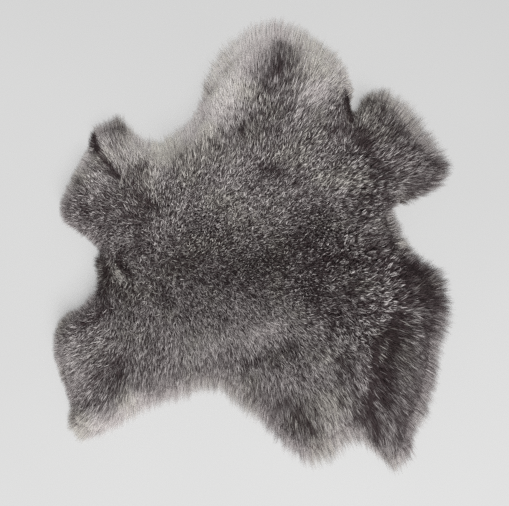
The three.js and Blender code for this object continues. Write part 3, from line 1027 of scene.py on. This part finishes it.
@dataclass
class Underfur(Slab):
    """The short dense wool under the longer hairs, as one soft closed body."""

    name: str = "underfur"
    inset: float = 1.0 * MM
    passing_inset: float = 0.3
    cell: float = 3.6 * MM
    floor: float = 1.2 * MM
    share: float = 0.50
    rim_width: float = 9 * MM
    rim_height: float = 0.8 * MM
    relief: float = 0.8 * MM
    relief_cell: float = 3 * MM
    # Slate wool, its colour made near black so that the gaps between the hairs, where it shows,
    # also carry painted shade.
    finish: MottledFinish = MottledFinish(
        "slate_underfur_and_gap_shade", (0.010, 0.008, 0.009), (0.026, 0.021, 0.022), 260, 1800, 0.0004, 0.95,
    )

    def height(self, places: Array) -> Array:
        """How high the wool stands at each place.

        Args:
            places: Rows of x and y in metres.

        Returns:
            One height for each place.
        """
        inward = np.clip(self.form.read("inward", places) / self.rim_width, 0, 1)
        rise = np.sqrt(1 - (1 - inward) ** 2)
        wool = self.form.read("top", places) * self.share
        wool += self.relief * (smooth_noise(places, self.relief_cell, Seed.WOOL) - 0.5)
        low = self.floor + self.rim_height
        return np.maximum(low + rise * (wool - low), low)

    def build(self) -> bpy.types.Object:
        """The underfur's body.

        Returns:
            The piece.
        """
        shell = self.sheet()
        grown = bmesh.ops.extrude_face_region(shell, geom=shell.faces[:], use_keep_orig=True)
        top = [part for part in grown["geom"] if isinstance(part, bmesh.types.BMVert)]
        places = np.array([vertex.co.xy for vertex in top])
        for vertex, height in zip(top, self.height(places)):
            vertex.co.z = height
        bmesh.ops.recalc_face_normals(shell, faces=shell.faces[:])
        for face in shell.faces:
            face.smooth = True
        piece = finish_shell(self.name, shell, self.finish)
        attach(piece, BODY)
        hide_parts(NODE)
        return piece


@dataclass(frozen=True)
class HairKind:
    """One kind of hair in the coat: how densely it grows and what each hair is like.

    `spacing` and `width` are in metres and `stray`, how far single hairs turn, in degrees.
    `pull` is how far a hair gathers into its clump, `shift` how much paler it is, and `tipped`
    the share with dark tips. `furthest` is how many times the rim's own reach it may pass the
    hide, where that reach is short and where it is long. `thinning` is how much fewer hairs
    grow where they lie. `band` is 1 for hair that keeps to the rim, and 0 for hair all over.
    """

    name: str
    spacing: float
    sections: int
    width: float
    uneven: float
    reach_share: float
    reach_spread: float
    height_low: float
    height_high: float
    stray: float
    pull: float
    shift: float
    tipped: float
    furthest: tuple[float, float]
    thinning: float
    tufted_shift: float
    band: float
    seed: int


@dataclass
class Hairs:
    """The hairs of one kind at their roots, and what holds there.

    Each hair belongs to a clump and to a larger tuft. It shares their centres, `centre` and
    `heart`, and four random numbers of each, `shared` and `kin`, with its neighbours. `tufted`
    and `lying` run from 0 to 1, and `edge` from 0 at the hide's edge to 1 further in.
    """

    kind: HairKind
    draw: np.random.Generator
    spots: Array
    centre: Array
    shared: Array
    heart: Array
    kin: Array
    tufted: Array
    lying: Array
    inward: Array
    edge: Array

    def random(self) -> Array:
        """One new random number from 0 to 1 for each hair."""
        return self.draw.random(len(self.spots))


@dataclass(frozen=True)
class Spines:
    """The points along each hair, and its width, roll and strip of the hair map.

    `slow` is how its way along the map slows towards the tip, and `end` where it ends there.
    """

    points: Array
    width: Array
    roll: Array
    strip: Array
    slow: Array
    end: Array


@dataclass(frozen=True)
class Ribbons:
    """Hairs as ribbons: corners and map places of each, and loops and face starts of one."""

    corners: Array
    maps: Array
    loops: Array
    starts: Array

    def chosen(self, keep: Array) -> "Ribbons":
        """The ribbons that are marked to be kept."""
        return Ribbons(self.corners[keep], self.maps[keep], self.loops, self.starts)


@dataclass
class Coat:
    """All the hairs, as flat tapered ribbons, in one piece for each part of the skin."""

    form: Form
    wool: Underfur

    # Where hairs grow, and how they turn.
    rim_band: float = 10 * MM
    rim_start: float = 0.6 * MM
    dense_reach: float = 5 * MM
    swirl: float = 14.0
    swirl_cell: float = 26 * MM
    ruffle: float = 2.4
    ruffled_reach: float = 3 * MM
    smooth_reach: float = 9 * MM
    whorl_order: float = 0.85
    whorl_stray: float = 70.0

    # Clumps of neighbours.
    clump: float = 2.6 * MM
    clump_sway: float = 16.0
    clump_height: float = 0.10
    clump_tone: float = 0.04
    pull_spread: float = 0.3
    rim_pull: float = 0.25

    # Tufts, where the coat is broken up.
    tuft: float = 4.5 * MM
    tuft_cell: float = 14 * MM
    tuft_tone: float = 0.06
    tuft_pull: float = 0.55
    tuft_pull_spread: float = 0.5
    tuft_sway: float = 50.0
    tufted_sway: float = 2.2
    tufted_width: float = 0.3
    tufted_tone: float = 0.08
    tufted_clumps: float = 0.22
    curl: float = 3.0

    # The height and the curve of a hair.
    root_depth: float = 0.4 * MM
    least_clearance: float = 0.25 * MM
    arch: float = 0.42
    rise: float = 1.2 * MM
    rim_low: float = 0.45
    bend: float = 0.10
    roll: float = 55.0

    # What changes from upright hair to hair that lies.
    upright: float = 4.5 * MM
    lying: float = 13 * MM
    lying_drop: float = 0.18
    lying_arch: float = 0.16
    lying_map: float = 0.35
    lying_calm: float = 0.6
    lying_even: float = 0.72
    lying_width: float = 0.18
    lying_roll: float = 0.45
    lying_end: float = 0.08
    lying_locks: float = 0.12

    # Hair at the rim and past it.
    rim_over: float = 1.4 * MM
    rim_span: tuple[float, float] = (3 * MM, 12 * MM)
    rim_fade: tuple[float, float] = (0.5, 1.7)
    # How much paler hair is near and past the rim: partly real pale fringe hair, partly painted
    # glow of light shining through the thin rim hair.
    pale_and_glowing_rim: float = 0.08
    pale_and_glowing_rim_from: float = 7 * MM
    pale_and_glowing_rim_width: float = 11 * MM
    rim_width: float = 0.25
    passing_width: float = 0.32
    passing_span: float = 9 * MM
    white_width: float = 1.0
    white_locks: float = 0.9

    # The tone and the cast of a hair, and its places on the hair map.
    agouti: Pairs = (
        (0.0, 0.0), (0.3, 0.02), (0.5, 0.09), (0.7, 0.35), (0.85, 0.62), (1.0, 0.78),
        (1.3, 0.84), (1.8, 1.0),
    )
    tone_at: float = 0.75
    tone_limits: tuple[float, float] = (0.02, 0.98)
    cast_cell: float = 18 * MM
    cast_spread: float = 0.35
    cast_warmth: float = 0.5
    olive_from: float = 0.68
    slate_to: float = 0.36
    end_tipped: float = 0.98
    end_white: float = 0.76
    bleach: float = 1.3
    half_strip: float = 0.0016
    map_start: float = 0.02

    # The width of a ribbon along it: its start, how much it swells, and how late it tapers.
    taper_start: float = 0.7
    taper_swell: float = 1.3
    taper_power: float = 2.2

    kinds: tuple[HairKind, ...] = (
        HairKind(
            "coat", spacing=0.64 * MM, sections=2, width=0.70 * MM, uneven=0.3,
            reach_share=1.0, reach_spread=0.35, height_low=0.84, height_high=1.06,
            stray=13, pull=0.2, shift=0.16, tipped=0.9,
            furthest=(1.0, 1.0), thinning=1.1, tufted_shift=-0.17, band=0, seed=11,
        ),
        HairKind(
            "overhair", spacing=1.1 * MM, sections=3, width=0.58 * MM, uneven=0.3,
            reach_share=1.1, reach_spread=0.35, height_low=0.94, height_high=1.14,
            stray=15, pull=0.1, shift=0.2, tipped=0.85,
            furthest=(1.1, 1.2), thinning=1.1, tufted_shift=0.04, band=0, seed=12,
        ),
        HairKind(
            "fringe", spacing=0.52 * MM, sections=2, width=0.42 * MM, uneven=0.6,
            reach_share=1.0, reach_spread=0.3, height_low=0.5, height_high=1.05,
            stray=9, pull=0.3, shift=0.26, tipped=0.2,
            furthest=(1.7, 1.7), thinning=0.0, tufted_shift=0.0, band=1, seed=14,
        ),
    )
    parts: tuple[tuple[str, float], ...] = (
        ("fur_forequarter", -98 * MM),
        ("fur_shoulder", -46 * MM),
        ("fur_back", 3 * MM),
        ("fur_loin", 50 * MM),
        ("fur_rump", 98 * MM),
        ("fur_hindquarter", math.inf),
    )

    def roots(self, kind: HairKind) -> Array:
        """Where the hairs of a kind grow.

        Args:
            kind: The kind of hair.

        Returns:
            Rows of x and y in metres.
        """
        draw, read = np.random.default_rng(kind.seed), self.form.read
        low, high = self.form.edge.min(0), self.form.edge.max(0)
        counts = np.ceil((high - low) / (kind.spacing * np.array([1, ROW_STEP])))
        i, j = np.meshgrid(*(np.arange(int(n)) for n in counts), indexing="ij")
        x = (i + 0.5 * (j % 2)) * kind.spacing
        y = j * kind.spacing * ROW_STEP
        spots = np.stack([x.ravel(), y.ravel()], -1) + low
        spots += (draw.random(spots.shape) - 0.5) * kind.spacing
        inward = read("inward", spots)
        full = np.minimum(self.dense_reach / read("reach", spots), 1)
        keep = (inward > self.rim_start) & (draw.random(len(spots)) < full**kind.thinning)
        if kind.band:
            keep &= inward < self.rim_band * kind.band
        return spots[keep]

    def sprout(self, kind: HairKind) -> Hairs:
        """The hairs of a kind at their roots.

        Args:
            kind: The kind of hair.

        Returns:
            The hairs.
        """
        spots, read = self.roots(kind), self.form.read
        centre, shared = clumps(spots, self.clump, Seed.CLUMPS)
        heart, kin = clumps(spots, self.tuft, Seed.TUFTS)
        lying = (read("reach", spots) - self.upright) / (self.lying - self.upright)
        inward = read("inward", spots)
        return Hairs(
            kind, np.random.default_rng(kind.seed + Seed.COURSES), spots, centre, shared, heart,
            kin, tufted=read("tufted", spots), lying=np.clip(lying, 0, 1), inward=inward,
            edge=np.clip(inward / self.rim_band, 0, 1),
        )

    def courses(self, hairs: Hairs) -> tuple[Array, Array, Array]:
        """Where the hairs lead, gathered into clumps and tufts.

        Args:
            hairs: The hairs.

        Returns:
            The way that each hair lies, how far it reaches, and the place of its tip.
        """
        kind, spots, inward, read = hairs.kind, hairs.spots, hairs.inward, self.form.read
        reach = read("reach", spots)
        ruffled = (self.smooth_reach - reach) / (self.smooth_reach - self.ruffled_reach)
        calm = 1 - self.lying_calm * hairs.lying
        sway = self.clump_sway * swing(hairs.shared[:, 0])
        sway *= calm * (1 + self.tufted_sway * hairs.tufted)
        turn = self.swirl * swing(smooth_noise(spots, self.swirl_cell, Seed.SWIRL)) + sway
        stray = kind.stray * calm * (1 + self.ruffle * np.clip(ruffled, 0, 1))
        stray += self.whorl_stray * np.clip(1 - read("order", spots) / self.whorl_order, 0, 1)
        stray *= hairs.draw.normal(size=len(spots))
        way = turned(self.form.lean(spots), turn + stray)

        reach = reach * kind.reach_share
        reach *= 1 + kind.reach_spread * swing(hairs.random())
        passing = read("passing", spots) + self.rim_over
        fade = np.interp(passing, self.rim_span, self.rim_fade)
        furthest = np.interp(passing, self.rim_span, kind.furthest)
        passing = passing * furthest * hairs.random() ** fade
        rim_reach = np.maximum(inward + passing, self.ruffled_reach)
        reach = rim_reach if kind.band else np.minimum(reach, rim_reach)

        tip = spots + way * reach[:, None]
        lead = turned(self.form.lean(hairs.centre), turn)
        lead *= (read("reach", hairs.centre) * kind.reach_share)[:, None]
        pull = np.clip(kind.pull + self.pull_spread * swing(hairs.random()), 0, 1)
        pull *= np.clip(inward / self.rim_band, self.rim_pull, 1)
        tip += (hairs.centre + lead - tip) * pull[:, None]
        lead = turned(self.form.lean(hairs.heart), self.tuft_sway * swing(hairs.kin[:, 0]))
        lead *= read("reach", hairs.heart)[:, None]
        pull = 1 - self.tuft_pull_spread + self.tuft_pull_spread * hairs.random()
        pull = self.tuft_pull * hairs.tufted * pull
        tip += (hairs.heart + lead - tip) * pull[:, None]
        return way, reach, tip

    def curves(self, hairs: Hairs, way: Array, reach: Array, tip: Array) -> Array:
        """Points along the hairs, which arch from the wool up and over to their tips.

        Args:
            hairs: The hairs.
            way: The way that each one lies.
            reach: How far each one reaches.
            tip: The places of their tips.

        Returns:
            Rows of points, one row for each hair.
        """
        kind, lying, shared = hairs.kind, hairs.lying, hairs.shared
        base = self.wool.height(hairs.spots) - self.root_depth
        share = kind.height_low + (kind.height_high - kind.height_low) * hairs.random()
        share -= self.lying_drop * lying * hairs.random()
        share *= 1 + self.clump_height * (shared[:, 1] - 0.5)
        top = np.maximum(self.form.read("top", tip) * share, self.least_clearance)
        root = np.column_stack([hairs.spots, base])
        end = np.column_stack([tip, top])
        middle = root + (end - root) * (self.arch - self.lying_arch * lying)[:, None]
        bend = self.bend * (shared[:, 3] - 0.5 + hairs.random() - 0.5) * reach
        bend *= 1 + self.curl * hairs.tufted
        middle[:, :2] += turned(way, 90.0) * bend[:, None]
        rise = np.maximum(base, top) + self.rise * hairs.random() - base
        middle[:, 2] = base + rise * (1 - self.rim_low + self.rim_low * hairs.edge)
        t = np.linspace(0, 1, kind.sections + 1)[None, :, None]
        shares = (1 - t) ** 2, 2 * t * (1 - t), t**2
        return sum(part * at[:, None] for part, at in zip(shares, (root, middle, end)))

    def tones(self, hairs: Hairs, tip: Array) -> tuple[Array, Array, Array]:
        """How pale each hair is, and of which cast.

        Args:
            hairs: The hairs.
            tip: The places of their tips.

        Returns:
            The hair's strip of the hair map, how much paler it is for its place, and how
            white it is at the rim.
        """
        kind, spots, lying, read = hairs.kind, hairs.spots, hairs.lying, self.form.read
        along = spots + (tip - spots) * self.tone_at
        # The pale field carries painted shade along folds, creases and the notch, and a painted
        # highlight, as well as the coat's own patches.
        pale = read("pale", along)
        # Tips near and past the rim turn paler: partly pale fringe hair, partly painted glow of
        # light through the thin rim hair.
        rim = np.clip((self.pale_and_glowing_rim_from - read("inward", tip)) / self.pale_and_glowing_rim_width, 0, 1)
        lift = pale + self.pale_and_glowing_rim * rim
        white = np.clip(pale, 0, 1) * (1 - hairs.edge)
        mixture = 0.5 + (hairs.random() - 0.5) * (1 - self.lying_even * lying)
        mixture += kind.shift + lift
        locks = self.clump_tone + self.lying_locks * lying + self.tufted_clumps * hairs.tufted
        locks += self.white_locks * white
        mixture += locks * swing(hairs.shared[:, 2])
        mixture += self.tuft_tone * swing(smooth_noise(spots, self.tuft_cell, Seed.SHADES))
        tuft = kind.tufted_shift + self.tufted_tone * swing(hairs.kin[:, 2])
        mixture += hairs.tufted * tuft
        tone = np.clip(np.interp(mixture, *np.array(self.agouti).T), *self.tone_limits)
        cast = smooth_noise(spots, self.cast_cell, Seed.CASTS)
        cast += self.cast_spread * (hairs.random() - 0.5)
        cast += self.cast_warmth * read("warm", along)
        hue = np.where(cast < self.slate_to, Hue.SLATE.value, Hue.NEUTRAL.value)
        hue = np.where(cast > self.olive_from, Hue.OLIVE.value, hue)
        return (hue + tone) / len(Hue), lift, white

    def spines(self, hairs: Hairs) -> Spines:
        """The points along each hair and what it is like.

        Args:
            hairs: The hairs.

        Returns:
            The hairs' spines.
        """
        kind, lying = hairs.kind, hairs.lying
        way, reach, tip = self.courses(hairs)
        points = self.curves(hairs, way, reach, tip)
        strip, lift, white = self.tones(hairs, tip)
        past = np.clip(-self.form.read("inward", tip) / self.passing_span, 0, 1)
        width = kind.width * (1 + kind.uneven * swing(hairs.random()))
        width *= 1 - self.rim_width * (1 - hairs.edge)
        width *= 1 - self.passing_width * past * (1 - white) + self.white_width * white
        width *= 1 - self.lying_width * lying + self.tufted_width * hairs.tufted
        roll = np.radians(self.roll) * swing(hairs.random()) * (1 - self.lying_roll * lying)
        tipped = hairs.random() < kind.tipped - self.bleach * lift
        end = np.where(tipped, self.end_tipped, self.end_white) - self.lying_end * lying
        return Spines(points, width, roll, strip, 1 - self.lying_map * lying, end)

    def ribbons(self, hair: Spines, sections: int) -> Ribbons:
        """Flat tapered ribbons along the hairs.

        Args:
            hair: The hairs' spines.
            sections: How many lengths each one has.

        Returns:
            The ribbons.
        """
        points = hair.points
        along = unit(np.gradient(points, axis=1))
        up = unit(np.array([0.0, 0.0, 1.0]) - along * along[..., 2:])
        roll = hair.roll[:, None, None]
        side = np.cross(along, up) * np.cos(roll) + up * np.sin(roll)
        t = np.linspace(0, 1, sections + 1)
        taper = (self.taper_start + self.taper_swell * t) * (1 - t**self.taper_power)
        half = side * hair.width[:, None, None] * taper[None, :, None] / 2
        u = self.map_start + (hair.end - self.map_start)[:, None] * t ** hair.slow[:, None]
        corners = np.empty((len(points), 2 * sections + 1, 3), np.float32)
        maps = np.empty((len(points), 2 * sections + 1, 2), np.float32)
        for rows, way in ((slice(0, -1, 2), -1), (slice(1, None, 2), 1)):
            corners[:, rows] = (points + way * half)[:, :-1]
            maps[:, rows, 0] = u[:, :-1]
            maps[:, rows, 1] = (hair.strip + way * self.half_strip)[:, None]
        corners[:, -1] = points[:, -1]
        maps[:, -1] = np.column_stack([u[:, -1], hair.strip])
        loops = [2 * k + step for k in range(sections - 1) for step in (0, 1, 3, 2)]
        loops += [2 * sections - 2, 2 * sections - 1, 2 * sections]
        return Ribbons(corners, maps, np.array(loops), 4 * np.arange(sections))

    def piece(
        self, name: str, lots: list[Ribbons], material: bpy.types.Material,
    ) -> bpy.types.Object:
        """One piece of fur from lots of ribbons.

        Args:
            name: The piece's name.
            lots: Ribbons of each kind of hair.
            material: The hair's finish.

        Returns:
            The piece.
        """
        corners, loops, starts, maps = [], [], [], []
        corner_count = loop_count = 0
        for lot in lots:
            number, per_hair = lot.corners.shape[:2]
            order = np.arange(number)[:, None]
            loops.append((lot.loops[None] + order * per_hair + corner_count).ravel())
            starts.append((lot.starts[None] + order * len(lot.loops) + loop_count).ravel())
            corners.append(lot.corners.reshape(-1, 3))
            maps.append(lot.maps[:, lot.loops].reshape(-1, 2))
            corner_count += number * per_hair
            loop_count += number * len(lot.loops)
        loops, starts = np.concatenate(loops), np.concatenate(starts)
        mesh = bpy.data.meshes.new(name)
        mesh.vertices.add(corner_count)
        mesh.vertices.foreach_set("co", np.concatenate(corners).ravel())
        mesh.loops.add(loop_count)
        mesh.loops.foreach_set("vertex_index", loops.astype(np.int32))
        mesh.polygons.add(len(starts))
        mesh.polygons.foreach_set("loop_start", starts.astype(np.int32))
        mesh.polygons.foreach_set("use_smooth", np.ones(len(starts), bool))
        layer = mesh.uv_layers.new(name=HAIR_MAP)
        layer.data.foreach_set("uv", np.concatenate(maps).ravel())
        mesh.update(calc_edges=True)
        mesh.validate()
        piece = finish_mesh(name, mesh, material)
        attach(piece, BODY)
        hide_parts(NODE)
        return piece

    def build(self) -> list[bpy.types.Object]:
        """The whole coat.

        Returns:
            The pieces.
        """
        grown = []
        for kind in self.kinds:
            hairs = self.sprout(kind)
            LOG.info("%s: %d hairs", kind.name, len(hairs.spots))
            grown.append((self.ribbons(self.spines(hairs), kind.sections), hairs.spots[:, 0]))
        material = HairFinish().make()
        pieces, west = [], -math.inf
        for name, east in self.parts:
            lots = [ribbons.chosen((x >= west) & (x < east)) for ribbons, x in grown]
            pieces.append(self.piece(name, lots, material))
            west = east
        return pieces


@dataclass(frozen=True)
class Lamp:
    """A soft square light aimed at the pelt: where it stands, its size and its power."""

    name: str
    place: Triple
    size: float
    watts: float

    def build(self) -> bpy.types.Object:
        """Puts the light into the scene.

        Returns:
            The light.
        """
        data = bpy.data.lights.new(self.name, "AREA")
        data.shape = "SQUARE"
        data.size = self.size
        data.energy = self.watts
        lamp = bpy.data.objects.new(self.name, data)
        lamp.location = self.place
        lamp.rotation_euler = (-Vector(self.place)).to_track_quat("-Z", "Y").to_euler()
        bpy.context.scene.collection.objects.link(lamp)
        return lamp


@dataclass
class Studio:
    """The pale floor, the soft light and the camera over the pelt.

    Places in the photo are in pixels, and `pixel` is the size of one on the pelt.
    """

    floor_size: float = 14.0
    floor_gap: float = 0.1 * MM
    floor_finish: MottledFinish = MottledFinish(
        "pale_floor", (0.77, 0.77, 0.765), (0.80, 0.80, 0.795), 3, 60, 0.0, 0.9,
    )
    photo_width: float = 509
    photo_centre: tuple[float, float] = (254.5, 253.0)
    origin_pixel: tuple[float, float] = (251.6, 247.4)
    pixel: float = 0.86 * MM
    lens: float = 85
    sensor: float = 36
    sight_height: float = 5 * MM
    sky: Triple = (0.93, 0.935, 0.94)
    sky_strength: float = 0.36
    lamps: tuple[Lamp, ...] = (
        Lamp("window", (1.1, -2.2, 1.5), 1.5, 59),
        Lamp("ceiling", (-0.4, 0.0, 1.25), 0.9, 4.6),
    )

    def build_floor(self) -> bpy.types.Object:
        """Puts the floor into the scene, just under the pelt.

        Returns:
            The floor.
        """
        plane = bmesh.new()
        bmesh.ops.create_grid(plane, x_segments=1, y_segments=1, size=self.floor_size / 2)
        bmesh.ops.translate(plane, verts=plane.verts[:], vec=(0, 0, -self.floor_gap))
        floor = finish_shell("floor", plane, self.floor_finish)
        return floor

    def build_sky(self) -> None:
        """The even light from all round."""
        world = bpy.data.worlds.new("studio")
        world.use_nodes = True
        back = world.node_tree.nodes["Background"]
        back.inputs["Color"].default_value = (*self.sky, 1)
        back.inputs["Strength"].default_value = self.sky_strength
        bpy.context.scene.world = world

    def build_camera(self) -> bpy.types.Object:
        """Puts the camera straight above the pelt, framed as the photo is.

        Returns:
            The camera.
        """
        data = bpy.data.cameras.new("camera")
        data.lens = self.lens
        data.sensor_width = self.sensor
        camera = bpy.data.objects.new("camera", data)
        off_x = (self.photo_centre[0] - self.origin_pixel[0]) * self.pixel
        off_y = (self.origin_pixel[1] - self.photo_centre[1]) * self.pixel
        far = self.photo_width * self.pixel * self.lens / self.sensor
        camera.location = (
            off_x - TABLE_CENTRE[0] * MM, off_y - TABLE_CENTRE[1] * MM, far + self.sight_height,
        )
        bpy.context.scene.collection.objects.link(camera)
        bpy.context.scene.camera = camera
        return camera

    def build(self) -> None:
        """All of the studio."""
        self.build_floor()
        self.build_sky()
        self.build_camera()
        for lamp in self.lamps:
            lamp.build()
        bpy.context.scene.view_settings.view_transform = "Standard"
        bpy.context.scene.cycles.use_denoising = False


def triangles(piece: bpy.types.Object) -> int:
    """How many triangles a piece has."""
    return sum(len(face.vertices) - 2 for face in piece.data.polygons)


def main() -> None:
    """Builds the studio and the pelt, and reports each piece."""
    logging.basicConfig(level=logging.INFO, format="%(message)s")
    Studio().build()
    form = Form()
    hide = Hide(form)
    skin = hide.build()
    wool = Underfur(form)
    under = wool.build()
    fur = Coat(form, wool).build()
    total = 0
    for piece in (skin, under, *fur):
        count = triangles(piece)
        total += count
        LOG.info("%s: %d triangles", piece.name, count)
    LOG.info("all pieces: %d triangles", total)


if __name__ == "__main__":
    main()
